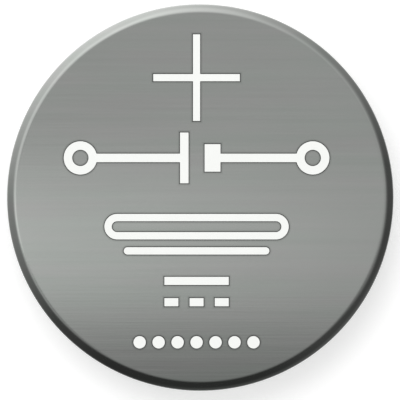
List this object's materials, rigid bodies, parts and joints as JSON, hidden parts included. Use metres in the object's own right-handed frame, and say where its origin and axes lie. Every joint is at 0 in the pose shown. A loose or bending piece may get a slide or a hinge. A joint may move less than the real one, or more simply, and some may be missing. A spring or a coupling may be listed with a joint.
{
  "type": "lithium coin cell",
  "caption": "Round lithium coin cell: a flat steel can with white face marks, crimped over a moulded gasket and a stepped steel cap, with its electrodes inside.",
  "frame": {"origin": "centre of the negative cap's flat face, on the surface that the cell rests on", "axes": "+Z along the cell's axis from the negative face to the positive face, +Y towards the plus sign's side of the face, +X to the right when the positive face is read"},
  "size_m": [0.02, 0.02, 0.0032],
  "materials": {
    "can_steel": "satin, faintly brushed",
    "white_ink": "matt white filling",
    "cap_steel": "satin with a fine stipple",
    "polypropylene": "moulded, natural",
    "lithium_metal": "dull silver foil",
    "fibre_mat": "white non-woven",
    "cathode_mix": "pressed black powder",
    "ring_steel": "satin"
  },
  "bodies": {
    "root": {"positive_can": "can_steel", "face_marks": "white_ink", "negative_cap": "cap_steel", "sealing_gasket": "polypropylene", "lithium_anode": "lithium_metal", "separator": "fibre_mat", "cathode_pellet": "cathode_mix", "cathode_ring": "ring_steel"}
  },
  "joints": []
}
